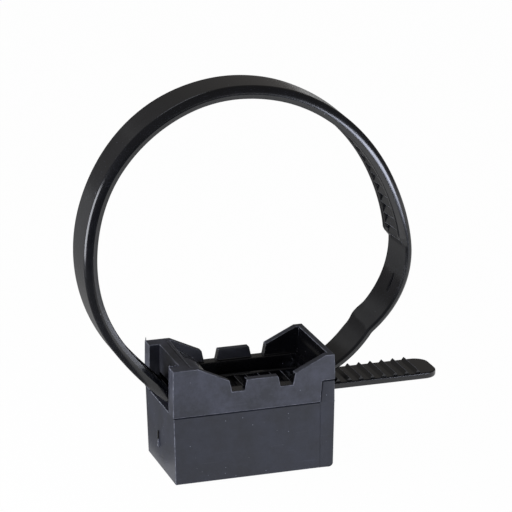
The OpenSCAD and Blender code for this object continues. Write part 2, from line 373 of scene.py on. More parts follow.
class Finish(Enum):
    """The finishes of the clip, one for each polish of the mould; the rims and tooth crests carry painted
    highlight, and the core painted shade.
    """

    # Fine spark-eroded skin of the upper half: satin, a little paler where it has been handled
    UPPER_SADDLE = Plastic(
        "nylon_satin_upper", colour="#292b32", mottle_colour="#4b4d57", roughness=0.50,
        roughness_spread=0.05, grain_mm=0.30, grain_height_mm=0.012,
        cloud_mm=6.0, scuff_share=0.06, dust_share=0.22,
    )
    # The lower half of the same moulding, drawn along its walls: satin and slightly darker
    LOWER_SADDLE = Plastic(
        "nylon_satin_lower", colour="#191c25", mottle_colour="#2c2f3a", roughness=0.48,
        roughness_spread=0.05, grain_mm=0.30, grain_height_mm=0.012,
        cloud_mm=8.0, scuff_share=0.07, dust_share=0.45,
    )
    # Polished core: the inside is as black as the strap, with a soft sheen; its darker colour on the faces
    # in the hollow is also painted shade
    CORE = Plastic(
        "nylon_polished_core_painted_shade", colour="#0b0b0d", mottle_colour="#111114", roughness=0.26,
        roughness_spread=0.06, grain_mm=0.45, grain_height_mm=0.003,
        cloud_mm=8.0, scuff_share=0.04, dust_share=0.05,
    )
    # Upper walls inside, drawn off the core: dull black with faint streaks
    INNER_WALL = Plastic(
        "nylon_drawn_wall", colour="#27282d", mottle_colour="#36373e", roughness=0.44,
        roughness_spread=0.06, grain_mm=0.30, grain_height_mm=0.008,
        cloud_mm=3.0, scuff_share=0.10, dust_share=0.05,
    )
    # Painted highlight along the rounded rims: paler than the skin beside them, and uneven
    RUBBED_EDGE = Plastic(
        "nylon_painted_highlight_edge", colour="#3e4047", mottle_colour="#8e9098", roughness=0.45,
        roughness_spread=0.05, grain_mm=0.30, grain_height_mm=0.012,
        cloud_mm=1.4, scuff_share=0.10, dust_share=0.10,
    )
    # Polished tool face: the strap is glossy and shows the lights as bands along its edges
    STRAP = Plastic(
        "nylon_polished_strap", colour="#0d0e11", mottle_colour="#131418", roughness=0.19,
        roughness_spread=0.04, grain_mm=0.45, grain_height_mm=0.002,
        cloud_mm=7.0, scuff_share=0.05, dust_share=0.08,
    )
    # Painted highlight on the tooth crests and the tail's ridges: thin paler lines across the rack
    CREST = Plastic(
        "nylon_painted_crest_highlight", colour="#55565c", mottle_colour="#77787e", roughness=0.35,
        roughness_spread=0.05, grain_mm=0.30, grain_height_mm=0.006,
        cloud_mm=2.0, scuff_share=0.05, dust_share=0.05,
    )


def finished_object(
    bm: BMesh, name: str, finishes: tuple[Finish, ...], smooth_below: float
) -> bpy.types.Object:
    """Makes an object of a mesh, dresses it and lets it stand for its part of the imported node.

    Args:
        bm: Mesh in metres, in the shared frame; it is freed.
        name: Name of the piece.
        finishes: Finishes in the order of the faces' material numbers.
        smooth_below: Edges flatter than this many degrees are shaded smooth.

    Returns:
        The new object, riding on the part's body.
    """
    mesh = mesh_from(bm, name)
    mesh.set_sharp_from_angle(angle=math.radians(smooth_below))
    for finish in finishes:
        mesh.materials.append(bpy.data.materials.get(finish.value.name) or finish.value.material())
    piece = linked_object(name, mesh)
    weights = piece.modifiers.new("weighted_normals", "WEIGHTED_NORMAL")
    weights.keep_sharp = True
    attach(piece, BODY)
    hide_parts(NODE)
    return piece


@dataclass(frozen=True)
class Arc:
    """One arc of the strap's outer face, in mm; a negative turn bends the strap outwards."""

    centre: Vector
    radius: float
    start: float
    turn: float

    def length(self) -> float:
        """Length along the outer face."""
        return self.radius * math.radians(abs(self.turn))

    def spot(self, travel: float) -> tuple[Vector, float]:
        """Point on the outer face and heading after some travel along the arc.

        Args:
            travel: Distance from the start of the arc.

        Returns:
            The point in the XZ plane, and the heading as a bearing in degrees.
        """
        bearing = self.start + math.degrees(travel / self.radius)
        return self.centre + self.radius * direction(bearing), bearing + 90.0


@dataclass
class StrapRoute:
    """Line of the strap's outer face, from its root in the end plate round to the tail, in mm."""

    saddle_length: float = 34.0
    plate_thickness: float = 1.7
    sill_height: float = 14.4
    sill_gap: float = 0.12
    root_height: float = 17.4
    # Radii of the arcs, and the bearings in degrees that some of them start from
    loop_radius: float = 33.6
    loop_offset: float = 0.4
    loop_dip: float = 1.67
    shoulder_radius: float = 30.3
    shoulder_from: float = 100.0
    flank_radius: float = 39.4
    flank_from: float = 65.6
    rise_radius: float = 21.25
    rise_from: float = 3.3
    crease_bearing: float = -52.0
    crease_radius: float = 3.0
    riser_radius: float = 23.4
    root_radius: float = 4.25
    entry_radius: float = 63.75
    sill_radius: float = 5.3
    sill_inset: float = 3.7
    rack_end_inset: float = 3.5

    def __post_init__(self) -> None:
        """Works out the centres of the arcs: each arc is tangent to the next."""
        right = self.saddle_length / 2
        self.run_height = self.sill_height + self.sill_gap
        loop = Vector((self.loop_offset, 0, self.run_height + self.loop_radius - self.loop_dip))
        shoulder = loop + (self.loop_radius - self.shoulder_radius) * direction(self.shoulder_from)
        flank = shoulder + (self.shoulder_radius - self.flank_radius) * direction(self.flank_from)
        rise = flank + (self.flank_radius - self.rise_radius) * direction(self.rise_from)
        root = Vector((right - self.plate_thickness / 2, 0, self.root_height + self.root_radius))
        fold = rise + self.rise_radius * direction(self.crease_bearing)
        riser = meeting_point(root, self.riser_radius - self.root_radius, fold, self.riser_radius)
        crease = meeting_point(
            rise, self.rise_radius + self.crease_radius, riser, self.riser_radius + self.crease_radius
        )
        sill = Vector((self.sill_inset - right, 0, self.run_height + self.sill_radius))
        entry = meeting_point(
            loop, self.entry_radius - self.loop_radius, sill, self.entry_radius - self.sill_radius
        )
        root_end = bearing_of(root - riser)
        riser_end = bearing_of(crease - riser)
        rise_start = bearing_of(crease - rise)
        loop_end = bearing_of(loop - entry)
        entry_end = bearing_of(sill - entry)
        self.smooth_arcs = [
            Arc(root, self.root_radius, DOWN, root_end - DOWN),
            Arc(riser, self.riser_radius, root_end, riser_end - root_end),
            Arc(crease, self.crease_radius, riser_end - 180.0, rise_start - riser_end),
            Arc(rise, self.rise_radius, rise_start, self.rise_from + 360.0 - rise_start),
        ]
        self.rack_arcs = [
            Arc(flank, self.flank_radius, self.rise_from, self.flank_from - self.rise_from),
            Arc(shoulder, self.shoulder_radius, self.flank_from, self.shoulder_from - self.flank_from),
            Arc(loop, self.loop_radius, self.shoulder_from, loop_end - self.shoulder_from),
            Arc(entry, self.entry_radius, loop_end, entry_end - loop_end),
            Arc(sill, self.sill_radius, entry_end, DOWN - entry_end),
        ]
        self.loop_centre = loop
        self.run_start = sill.x
        self.rack_end = right - self.rack_end_inset

    def rack_spot(self, travel: float) -> tuple[Vector, float]:
        """Point on the rack's outer face and heading there.

        Args:
            travel: Distance from the start of the rack.

        Returns:
            The point in the XZ plane, and the heading as a bearing in degrees.
        """
        for arc in self.rack_arcs:
            if travel <= arc.length():
                return arc.spot(travel)
            travel -= arc.length()
        return Vector((self.run_start + travel, 0, self.run_height)), 0.0

    def rack_length(self) -> float:
        """Length of the rack's arcs, up to the straight run."""
        return sum(arc.length() for arc in self.rack_arcs)


@dataclass(frozen=True)
class Warp:
    """A stretch of the loop that handling has set off its drawn line, in degrees and mm."""

    bearing: float
    spread: float
    near: float
    far: float

    def shift(self, bearing: float, across: float) -> float:
        """Outward shift at a place on the loop.

        Args:
            bearing: Bearing from the loop's centre, in degrees.
            across: 0 at the near edge and 1 at the far one.

        Returns:
            The shift in mm, which fades out towards the ends of the stretch.
        """
        off = (bearing - self.bearing + 180.0) % 360.0 - 180.0
        if abs(off) >= self.spread:
            return 0.0
        swell = 0.5 + 0.5 * math.cos(math.pi * off / self.spread)
        return swell * ((1 - across) * self.near + across * self.far)


@dataclass
class Strap:
    """The strap: a plain stretch by the root, the toothed rack and the ridged tail, in mm."""

    route: StrapRoute
    # Section of the plain stretch and of the rack
    width: float = 9.6
    smooth_thickness: float = 1.5
    smooth_chamfer: float = 0.14
    web_thickness: float = 1.85
    rail_height: float = 2.7
    rail_width: float = 1.5
    rail_lean: float = 0.36
    rail_soft: float = 0.22
    edge_radius: float = 1.05
    parting_depth: float = 1.7
    plain_parting: float = 1.15
    parting_step: float = 0.08
    taper_length: float = 1.8
    soft_corner: float = 0.14
    parting_fade: float = 8.0
    chord: float = 0.7
    # Sawteeth, and the face of the pawl that one of them stops at
    pitch: float = 2.5
    tooth_height: float = 0.65
    tooth_length: float = 2.0
    pawl_face: float = -7.85
    pawl_gap: float = 0.2
    sink: float = 0.25
    # Tail and its cross ridges
    tail_length: float = 25.0
    tail_thickness: float = 1.35
    tip_radius: float = 3.0
    tail_edge: float = 0.28
    ridge_height: float = 0.73
    ridge_width: float = 1.2
    ridge_inset: float = 0.55
    tip_plain: float = 4.6
    # Torn gate on the plain stretch
    gate_start: tuple[float, float, float] = (31.64, -0.82, 33.29)
    gate_stop: tuple[float, float, float] = (33.19, -0.7, 36.76)
    gate_normal: tuple[float, float, float] = (-0.91, -0.09, 0.4)
    gate_width: float = 0.3
    # Slack for telling corners apart, and the fineness of the roundings and the shading
    slack: float = 0.02
    rounded_share: float = 0.98
    edge_segments: int = 10
    soft_segments: int = 3
    tip_segments: int = 8
    fewest_steps: int = 4
    smooth_below: float = 32.0
    finishes: tuple[Finish, ...] = (Finish.STRAP, Finish.CREST)
    warps: tuple[Warp, ...] = (
        Warp(-33.0, 36.0, 0.05, -0.68),
        Warp(-34.5, 4.5, 0.0, -0.28),
        Warp(-39.5, 4.0, 0.0, 0.15),
        Warp(-10.0, 32.0, 0.46, 0.0),
        Warp(48.0, 38.0, 0.1, 0.38),
        Warp(84.0, 26.0, -0.28, 0.12),
        Warp(122.0, 40.0, -0.1, 0.48),
        Warp(174.0, 30.0, -0.26, 0.03),
    )

    def half_section(self) -> list[tuple[float, float]]:
        """Corners of half of the rack's section, before its outer corner is rounded and drawn out.

        Returns:
            Pairs of depth from the outer face and distance in from the edge.
        """
        return [
            (0.0, 0.0),
            (self.edge_radius, 0.0),
            (self.parting_depth, self.parting_step),
            (self.rail_height, self.parting_step + self.rail_lean),
            (self.rail_height, self.rail_width),
            (self.web_thickness, self.rail_width),
        ]

    def plain_place(self, depth: float, inset: float) -> Vector:
        """Finds where a point of the rack's section lies on the plain stretch by the root.

        Args:
            depth: Depth from the outer face.
            inset: Distance in from the edge.

        Returns:
            Depth and inset on the plain section.
        """
        if inset > self.rail_width - self.slack:
            return Vector((self.smooth_thickness, inset + self.rail_height - depth))
        if depth > self.parting_depth + self.slack:
            foot = self.parting_step + self.smooth_chamfer
            share = (inset - self.parting_step) / (self.rail_width - self.parting_step)
            return Vector((self.smooth_thickness, foot + share * (self.rail_width - foot)))
        return Vector((depth * self.plain_parting / self.parting_depth, inset))

    def build_band(self) -> BMesh:
        """Sweeps the section along the route from the root to the end of the rack.

        Returns:
            Closed mesh of the strap without its teeth, in mm.
        """
        bm = bmesh.new()
        half = self.half_section()
        first = self.route.smooth_arcs[0]
        outline = [(depth, self.width / 2 - inset) for depth, inset in half]
        outline += [(depth, inset - self.width / 2) for depth, inset in reversed(half)]
        ring = []
        for depth, across in outline:
            spot = first.centre + (first.radius - depth) * direction(first.start)
            ring.append(bm.verts.new(spot + Vector((0, across, 0))))
        bm.faces.new(ring)
        # Both top corners of each rail
        soft_rails = [ring[i] for i in (3, 4, -5, -4)]
        bmesh.ops.bevel(
            bm, geom=[ring[0], ring[-1]], offset=self.rounded_share * self.edge_radius,
            offset_type="OFFSET", segments=self.edge_segments, profile=0.5, affect="VERTICES", material=-1,
        )
        # The round edge is drawn out to a quarter ellipse that ends at the parting line
        for v in bm.verts:
            below = v.co.z - first.centre.z + first.radius
            if self.width / 2 - abs(v.co.y) < self.edge_radius and below < self.edge_radius + self.sink:
                v.co.z += below * (self.parting_depth / self.edge_radius - 1)
        bmesh.ops.bevel(
            bm, geom=soft_rails, offset=self.rail_soft, offset_type="OFFSET",
            segments=self.soft_segments, profile=0.5, affect="VERTICES", material=-1,
        )
        edges = bm.edges[:]
        swept: list[tuple[Arc, float, list[BMVert]]] = []
        travel = -sum(arc.length() for arc in self.route.smooth_arcs)
        for arc in self.route.smooth_arcs + self.route.rack_arcs:
            before = set(bm.verts)
            start_ring = list({v for e in edges for v in e.verts})
            spun = bmesh.ops.spin(
                bm, geom=edges, cent=arc.centre, axis=ACROSS, angle=math.radians(arc.turn),
                steps=max(self.fewest_steps, round(arc.length() / self.chord)),
            )
            edges = [g for g in spun["geom_last"] if isinstance(g, BMEdge)]
            fresh = [v for v in bm.verts if v not in before]
            swept.append((arc, travel, fresh if swept else fresh + start_ring))
            travel += arc.length()
        edges = self._run_on(bm, edges, self.route.rack_end - self.route.run_start)
        bmesh.ops.edgeloop_fill(bm, edges=edges)
        for arc, start, verts in swept:
            self._thin_by_root(arc, start, verts)
        bmesh.ops.recalc_face_normals(bm, faces=bm.faces)
        return bm

    def _run_on(self, bm: BMesh, edges: list[BMEdge], length: float) -> list[BMEdge]:
        """Carries the section on in a straight line along X.

        Args:
            bm: Mesh of the strap.
            edges: Last ring of edges.
            length: Length of the run.

        Returns:
            The new last ring of edges.
        """
        grown = bmesh.ops.extrude_edge_only(bm, edges=edges)["geom"]
        verts = [g for g in grown if isinstance(g, BMVert)]
        bmesh.ops.translate(bm, verts=verts, vec=(length, 0, 0))
        moved = set(verts)
        return [g for g in grown if isinstance(g, BMEdge) and all(v in moved for v in g.verts)]

    def _thin_by_root(self, arc: Arc, start: float, verts: list[BMVert]) -> None:
        """Moves an arc's points from the rack's section to the plain one, by their place along it.

        Args:
            arc: Arc that the points were swept along.
            start: Place of the arc's start along the strap; the rack starts at 0.
            verts: Points of the arc.
        """
        inward = math.copysign(1.0, arc.turn)
        for v in verts:
            offset = Vector((v.co.x, 0, v.co.z)) - arc.centre
            swing = (bearing_of(offset) - arc.start + 180.0) % 360.0 - 180.0
            travel = start + arc.radius * math.radians(abs(swing))
            rack = Vector((inward * (arc.radius - offset.length), self.width / 2 - abs(v.co.y)))
            on_edge = rack.x < self.parting_depth + self.slack
            fade = self.parting_fade if on_edge and rack.y < self.rail_width / 2 else self.taper_length
            share = min(max(1.0 - travel / fade, 0.0), 1.0)
            depth, inset = rack.lerp(self.plain_place(rack.x, rack.y), share)
            spot = arc.centre + (arc.radius - inward * depth) * offset.normalized()
            v.co = Vector((spot.x, math.copysign(self.width / 2 - inset, v.co.y), spot.z))

    def _set_by_handling(self, bm: BMesh) -> None:
        """Warps the loop a little, as a strap is that has been bent and let go.

        Args:
            bm: Mesh of the strap.
        """
        for v in bm.verts:
            out = Vector((v.co.x, 0, v.co.z)) - self.route.loop_centre
            across = v.co.y / self.width + 0.5
            v.co += sum(w.shift(bearing_of(out), across) for w in self.warps) * out.normalized()

    def prism(
        self, bm: BMesh, profile: list[tuple[float, float]], width: float, soft: list[int]
    ) -> list[BMVert]:
        """Adds a bar with a given profile in the XZ plane, extruded across the strap.

        Args:
            bm: Mesh that takes the bar.
            profile: Corners of the profile.
            width: Width across the strap.
            soft: Numbers of the corners whose long edges are rounded.

        Returns:
            Points of the bar.
        """
        corners = [bm.verts.new((x, -width / 2, z)) for x, z in profile]
        face = bm.faces.new(corners)
        grown = bmesh.ops.extrude_face_region(bm, geom=[face])["geom"]
        far = [g for g in grown if isinstance(g, BMVert)]
        bmesh.ops.translate(bm, verts=far, vec=(0, width, 0))
        edges = [e for i in soft for e in corners[i].link_edges if e.other_vert(corners[i]) in far]
        made = set(corners) | set(far)
        rounded = bmesh.ops.bevel(
            bm, geom=edges, offset=self.soft_corner, offset_type="OFFSET",
            segments=self.soft_segments, profile=0.5, affect="EDGES", material=-1,
        )
        # The rounded crest is painted paler, as a highlight
        for crest in rounded["faces"]:
            crest.material_index = self.finishes.index(Finish.CREST)
        made |= set(rounded["verts"])
        return [v for v in made if v.is_valid]

    def add_teeth(self, bm: BMesh) -> int:
        """Adds the sawteeth between the rails, steep towards the root.

        Args:
            bm: Mesh of the strap.

        Returns:
            The number of teeth.
        """
        stop = self.route.rack_length() + self.pawl_face + self.pawl_gap - self.route.run_start
        reach = self.route.rack_length() + self.route.rack_end - self.route.run_start
        first = stop - self.pitch * math.floor(stop / self.pitch)
        count = int((reach - self.tooth_length - first) / self.pitch) + 1
        web, tip = self.web_thickness, self.web_thickness + self.tooth_height
        slope = self.tooth_length / self.tooth_height
        for k in range(count):
            travel = first + k * self.pitch
            spot, heading = self.route.rack_spot(travel)
            grown = (self.rail_height - self.smooth_thickness) * travel / self.taper_length
            top = min(tip, self.smooth_thickness + grown)
            foot = slope * (tip - web + self.sink)
            profile = [(0.0, web - 2 * self.sink), (0.0, top), (slope * (tip - top), top)]
            if tip - top < self.soft_corner:
                profile = [(0.0, web - 2 * self.sink), (0.0, tip)]
            profile += [(foot, web - self.sink), (foot, web - 2 * self.sink)]
            verts = self.prism(bm, profile, self.width - 2 * self.rail_width + self.sink, soft=[1])
            turn = Matrix.Rotation(math.radians(heading), 4, ACROSS)
            bmesh.ops.transform(bm, matrix=Matrix.Translation(spot) @ turn, verts=verts)
        return count

    def add_gate(self, bm: BMesh) -> None:
        """Adds the torn edge gate on the inner face of the plain stretch.

        Args:
            bm: Mesh of the strap, as handled.
        """
        start, stop, up = (Vector(p) for p in (self.gate_start, self.gate_stop, self.gate_normal))
        along = (stop - start).normalized()
        side = along.cross(up).normalized()
        basis = Matrix((side, along, side.cross(along))).transposed().to_4x4()
        grow = Matrix.Diagonal((self.gate_width, (stop - start).length, self.gate_width, 1.0))
        turn = Matrix.Rotation(math.pi / 4, 4, "Y")
        place = Matrix.Translation((start + stop) / 2)
        bmesh.ops.create_cube(bm, size=1.0, matrix=place @ basis @ turn @ grow)

    def build_tail(self) -> BMesh:
        """Builds the free end: a flat tongue with a rounded tip and cross ridges.

        Returns:
            Mesh of the tail, in mm.
        """
        bm = bmesh.new()
        tip = self.route.saddle_length / 2 + self.tail_length
        length = tip - self.route.rack_end
        size = Matrix.Diagonal((length, self.width, self.tail_thickness, 1))
        centre = (tip - length / 2, 0, self.route.run_height + self.tail_thickness / 2)
        bmesh.ops.create_cube(bm, size=1.0, matrix=Matrix.Translation(centre) @ size)
        corners = [e for e in bm.edges if all(v.co.x > tip - TOUCH for v in e.verts)]
        upright = [e for e in corners if abs(e.verts[0].co.z - e.verts[1].co.z) > TOUCH]
        bmesh.ops.bevel(
            bm, geom=upright, offset=self.tip_radius, offset_type="OFFSET",
            segments=self.tip_segments, profile=0.5, affect="EDGES", material=-1,
        )
        rim = [e for e in bm.edges if abs(e.verts[0].co.z - e.verts[1].co.z) < TOUCH]
        rim = [e for e in rim if e.calc_face_angle() > CORNER_TURN]
        bmesh.ops.bevel(
            bm, geom=rim, offset=self.tail_edge, offset_type="OFFSET",
            segments=self.soft_segments, profile=0.5, affect="EDGES", material=-1,
        )
        half, foot = self.ridge_width / 2, self.sink
        spread = half * (1 + foot / self.ridge_height)
        top = self.route.run_height + self.tail_thickness
        x = tip - self.tip_plain
        while x > self.route.rack_end + self.ridge_width:
            profile = [(x - spread, top - foot), (x, top + self.ridge_height), (x + spread, top - foot)]
            self.prism(bm, profile, self.width - 2 * self.ridge_inset, soft=[1])
            x -= self.pitch
        bmesh.ops.recalc_face_normals(bm, faces=bm.faces)
        return bm

    def build(self) -> list[bpy.types.Object]:
        """Builds and dresses the strap's pieces.

        Returns:
            The band with its rack, and the tail.
        """
        band = self.build_band()
        count = self.add_teeth(band)
        LOG.info("rack of %d teeth", count)
        self._set_by_handling(band)
        self.add_gate(band)
        tail = self.build_tail()
        pieces = []
        for name, bm in (("strap", band), ("strap_tail", tail)):
            bmesh.ops.recalc_face_normals(bm, faces=bm.faces)
            bmesh.ops.scale(bm, vec=(MM, MM, MM), verts=bm.verts)
            for face in bm.faces:
                face.smooth = True
            pieces.append(finished_object(bm, name, self.finishes, self.smooth_below))
        return pieces


@dataclass(frozen=True)
class MouldMark:
    """A small leftover of moulding: a stub or a scrap of flash, in mm."""

    place: tuple[float, float, float]
    size: tuple[float, float, float]
    turn: float
    taper: float
    sides: int
    finish: Finish

    # Radius of the cone that the size stretches
    RADIUS = 0.6


@dataclass
class Saddle:
    """The saddle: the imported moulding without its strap, with its edges softened, in mm."""

    # The box, its stepped seam and the strap's root
    half_length: float = 17.0
    seam_height: float = 14.4
    step_height: float = 18.9
    step_width: float = 3.2
    root_half_width: float = 4.9
    root_low: float = 17.2
    root_high: float = 19.4
    step_lean: float = 0.5
    # Softened edges, skins and scored lines
    edge_radius: float = 0.13
    cut_clearance: float = 0.3
    outer_skin: float = 10.0
    inner_skin: float = 8.9
    score_width: float = 0.3
    score_depth: float = 0.35
    witness_width: float = 0.12
    witness_depth: float = 0.05
    # Places where one finish ends and the next begins
    rim_height: float = 19.3
    slot_end: float = -12.9
    pawl_height: float = 22.6
    bay_start: float = 3.6
    bay_end: float = 15.6
    top_height: float = 24.2
    # Limits for cleaning the mesh and for the edges that are softened, with angles in degrees
    merge_distance: float = 0.002
    sliver_width: float = 0.03
    flat_angle: float = 0.8
    soft_angle: float = 28.0
    soft_segments: int = 2
    short_share: float = 5.0
    corner_share: float = 1.6
    # How far off a place a face or point may lie and still count as there
    root_margin: float = 0.1
    end_margin: float = 0.4
    foot_margin: float = 0.1
    pawl_margin: float = 0.06
    bay_margin: float = 0.1
    rim_margin: float = 0.5
    shelf_margin: float = 0.7
    # Shares of a face's normal along an axis
    facing: float = 0.9
    steep: float = 0.5
    level: float = 0.95
    # Shading angle in degrees, and the finishes in the order of the faces' numbers
    smooth_below: float = 30.0
    finishes: tuple[Finish, ...] = (
        Finish.UPPER_SADDLE, Finish.LOWER_SADDLE, Finish.CORE, Finish.INNER_WALL, Finish.RUBBED_EDGE,
    )
    marks: tuple[MouldMark, ...] = (
        # The gate's scar takes the core's dark colour, with its painted shade
        MouldMark((-17.0, 1.5, 6.0), (0.3, 0.6, 3.4), 3.0, 0.7, 6, Finish.CORE),
        # The gate's stub and the flash on the posts carry the rims' painted highlight
        MouldMark((-17.0, 1.1, 5.2), (0.5, 0.5, 1.5), -9.0, 0.5, 5, Finish.RUBBED_EDGE),
        MouldMark((-16.8, 10.3, 24.4), (0.3, 0.25, 1.1), 8.0, 0.2, 6, Finish.UPPER_SADDLE),
        MouldMark((-16.7, -7.2, 24.25), (0.5, 0.3, 0.5), 12.0, 0.4, 5, Finish.RUBBED_EDGE),
        MouldMark((-16.2, -7.1, 24.2), (0.4, 0.25, 0.35), -10.0, 0.5, 6, Finish.RUBBED_EDGE),
        MouldMark((-15.6, -7.2, 24.25), (0.5, 0.3, 0.55), 20.0, 0.3, 5, Finish.RUBBED_EDGE),
        MouldMark((-15.0, -7.1, 24.2), (0.4, 0.3, 0.4), -15.0, 0.5, 6, Finish.RUBBED_EDGE),
    )
    # Shelf at the head of the ramp, whose plan is cut off by the ramp's slope
    shelf_foot: float = 20.5
    shelf_edge: float = 0.36
    slope_start: float = -11.8
    slope_fall: float = 0.477
    shelf_plan: tuple[tuple[float, float], ...] = (
        (-13.1, -8.95), (-13.1, 8.9), (-11.9, 8.9), (-12.3, -2.3), (-10.2, -3.8), (-10.8, -8.95),
    )

    def build_body(self) -> BMesh:
        """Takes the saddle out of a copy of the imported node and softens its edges.

        Returns:
            Closed mesh of the saddle, in mm.
        """
        bm = bmesh.new()
        bm.from_mesh(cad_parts[NODE].data)
        bmesh.ops.scale(bm, vec=(1 / MM, 1 / MM, 1 / MM), verts=bm.verts)
        bmesh.ops.remove_doubles(bm, verts=bm.verts, dist=self.merge_distance)
        cut = (self.half_length + self.cut_clearance, 0, 0)
        everything = bm.verts[:] + bm.edges[:] + bm.faces[:]
        bmesh.ops.bisect_plane(bm, geom=everything, plane_co=cut, plane_no=(1, 0, 0), clear_outer=True)
        self._keep_island(bm)
        stub = [f for f in bm.faces if all(self._at_root(v) for v in f.verts)]
        bmesh.ops.delete(bm, geom=stub, context="FACES")
        bmesh.ops.holes_fill(bm, edges=[e for e in bm.edges if e.is_boundary], sides=0)
        bmesh.ops.dissolve_degenerate(bm, dist=self.sliver_width, edges=bm.edges)
        bmesh.ops.dissolve_limit(
            bm, angle_limit=math.radians(self.flat_angle), verts=bm.verts, edges=bm.edges,
            use_dissolve_boundaries=False,
        )
        scored = self._score_seam(bm)
        self._soften(bm, scored)
        self._add_shelf(bm)
        return bm

    def _add_shelf(self, bm: BMesh) -> None:
        """Adds the level shelf at the head of the ramp, deeper beside the near wall.

        Args:
            bm: Mesh of the saddle.
        """
        block = bmesh.new()
        corners = [block.verts.new((x, y, self.shelf_foot)) for x, y in self.shelf_plan]
        face = block.faces.new(corners)
        grown = bmesh.ops.extrude_face_region(block, geom=[face])["geom"]
        top = [g for g in grown if isinstance(g, BMVert)]
        bmesh.ops.translate(block, verts=top, vec=(0, 0, self.top_height - self.shelf_foot))
        slope_head = (self.slope_start, 0, self.top_height)
        bmesh.ops.bisect_plane(
            block, geom=block.verts[:] + block.edges[:] + block.faces[:],
            plane_co=slope_head, plane_no=(self.slope_fall, 0, 1), clear_outer=True,
        )
        bmesh.ops.holes_fill(block, edges=[e for e in block.edges if e.is_boundary], sides=0)
        bmesh.ops.recalc_face_normals(block, faces=block.faces)
        rim = [e for e in block.edges if min(v.co.z for v in e.verts) > self.shelf_foot + TOUCH]
        rounded = bmesh.ops.bevel(
            block, geom=[e for e in rim if e.calc_face_angle() > CORNER_TURN], offset=self.shelf_edge,
            offset_type="OFFSET", segments=self.soft_segments, profile=0.5, affect="EDGES", material=-1,
        )
        for edge_face in rounded["faces"]:
            edge_face.smooth = True
        made = mesh_from(block, "shelf")
        bm.from_mesh(made)
        bpy.data.meshes.remove(made)

    def _slice(self, bm: BMesh, faces: list[BMFace], at: Vector, normal: Vector) -> None:
        """Cuts some faces along a plane."""
        geom = list({g for f in faces for g in (f, *f.edges, *f.verts)})
        bmesh.ops.bisect_plane(bm, geom=geom, plane_co=at, plane_no=normal)

    def _score_seam(self, bm: BMesh) -> set[BMEdge]:
        """Scores the open seam between the two mould halves, and the witness line below its step.

        Args:
            bm: Mesh of the saddle.

        Returns:
            The edges of the scored lines, which stay sharp.
        """
        seam, step = self.seam_height, self.step_height
        corner = self.half_length - self.step_width
        lean = Vector((step - seam, 0, -self.step_lean)).normalized()
        line = Vector((corner, 0, seam))
        scored: set[BMEdge] = set()

        def skin(low: float, high: float) -> list[BMFace]:
            """Finds faces of the long outer sides.

            Args:
                low: Height that the middle of a face is above.
                high: Height that the middle of a face is below.

            Returns:
                The faces.
            """
            return [
                f for f in bm.faces
                if abs(f.calc_center_median().y) > self.outer_skin
                and abs(f.normal.y) > self.facing
                and low < f.calc_center_median().z < high
            ]

        self._slice(bm, skin(0, seam), Vector((0, 0, seam - self.score_width)), Vector((0, 0, 1)))
        self._slice(bm, skin(0, seam), line, Vector((1, 0, 0)))
        self._slice(bm, skin(0, seam), line + Vector((self.witness_width, 0, 0)), Vector((1, 0, 0)))
        posts = [f for f in skin(seam, step) if f.calc_center_median().x > corner]
        self._slice(bm, posts, line + self.score_width * lean, lean)
        posts = [f for f in skin(seam, step) if f.calc_center_median().x > corner]
        self._slice(bm, posts, Vector((0, 0, step - self.score_width)), Vector((0, 0, 1)))
        for side in (-1, 1):
            groove, witness = [], []
            for f in skin(0, step):
                middle = f.calc_center_median()
                if middle.y * side < 0:
                    continue
                on_riser = 0 < (middle - line).dot(lean) < self.score_width
                if middle.z < seam and middle.x < corner:
                    groove += [f] if middle.z > seam - self.score_width else []
                elif middle.z < seam:
                    witness += [f] if middle.x < corner + self.witness_width else []
                elif middle.x > corner and (on_riser or middle.z > step - self.score_width):
                    groove.append(f)
            for faces, depth in ((groove, self.score_depth), (witness, self.witness_depth)):
                sides = bmesh.ops.inset_region(bm, faces=faces, thickness=0.0, depth=-depth)["faces"]
                scored |= {e for f in sides + faces for e in f.edges}
        return scored

    def _keep_island(self, bm: BMesh) -> None:
        """Deletes everything that isn't joined to the foot of the saddle.

        Args:
            bm: Mesh of the saddle, merged.
        """
        joined: set[BMVert] = set()
        waiting = [min(bm.verts, key=lambda v: v.co.z)]
        while waiting:
            v = waiting.pop()
            if v not in joined:
                joined.add(v)
                waiting.extend(e.other_vert(v) for e in v.link_edges)
        bmesh.ops.delete(bm, geom=[v for v in bm.verts if v not in joined], context="VERTS")

    def _at_root(self, v: BMVert) -> bool:
        """Whether a point is on the strap's root, outside the end plate."""
        inside = abs(v.co.y) < self.root_half_width and self.root_low < v.co.z < self.root_high
        return inside and v.co.x > self.half_length - self.root_margin

    def _soften(self, bm: BMesh, scored: set[BMEdge]) -> None:
        """Rounds the moulding's edges, apart from scored lines and the short ones of arcs.

        Args:
            bm: Mesh of the saddle.
            scored: Edges that stay sharp.
        """
        sharp = [
            e for e in bm.edges
            if e not in scored
            and e.is_manifold
            and e.calc_face_angle() > math.radians(self.soft_angle)
            and e.calc_length() > self.short_share * self.edge_radius
        ]
        hollow = [(e.verts[0].co.copy(), e.verts[1].co.copy()) for e in sharp if not e.is_convex]
        rounded = bmesh.ops.bevel(
            bm, geom=sharp, offset=self.edge_radius, offset_type="OFFSET", segments=self.soft_segments,
            profile=0.5, affect="EDGES", clamp_overlap=False, material=-1,
        )
        # Until the finishes are dealt out, number 1 marks the roundings of inside corners
        for face in rounded["faces"]:
            face.smooth = True
            face.material_index = int(self._in_corner(face.calc_center_median(), hollow))

    def _in_corner(self, spot: Vector, corners: list[tuple[Vector, Vector]]) -> bool:
        """Whether a point lies along one of the inside corners, which get no painted highlight.

        Args:
            spot: The point.
            corners: Ends of each corner's edge.

        Returns:
            True beside a corner.
        """
        for start, stop in corners:
            nearest, share = intersect_point_line(spot, start, stop)
            if 0.0 < share < 1.0 and (spot - nearest).length < self.corner_share * self.edge_radius:
                return True
        return False

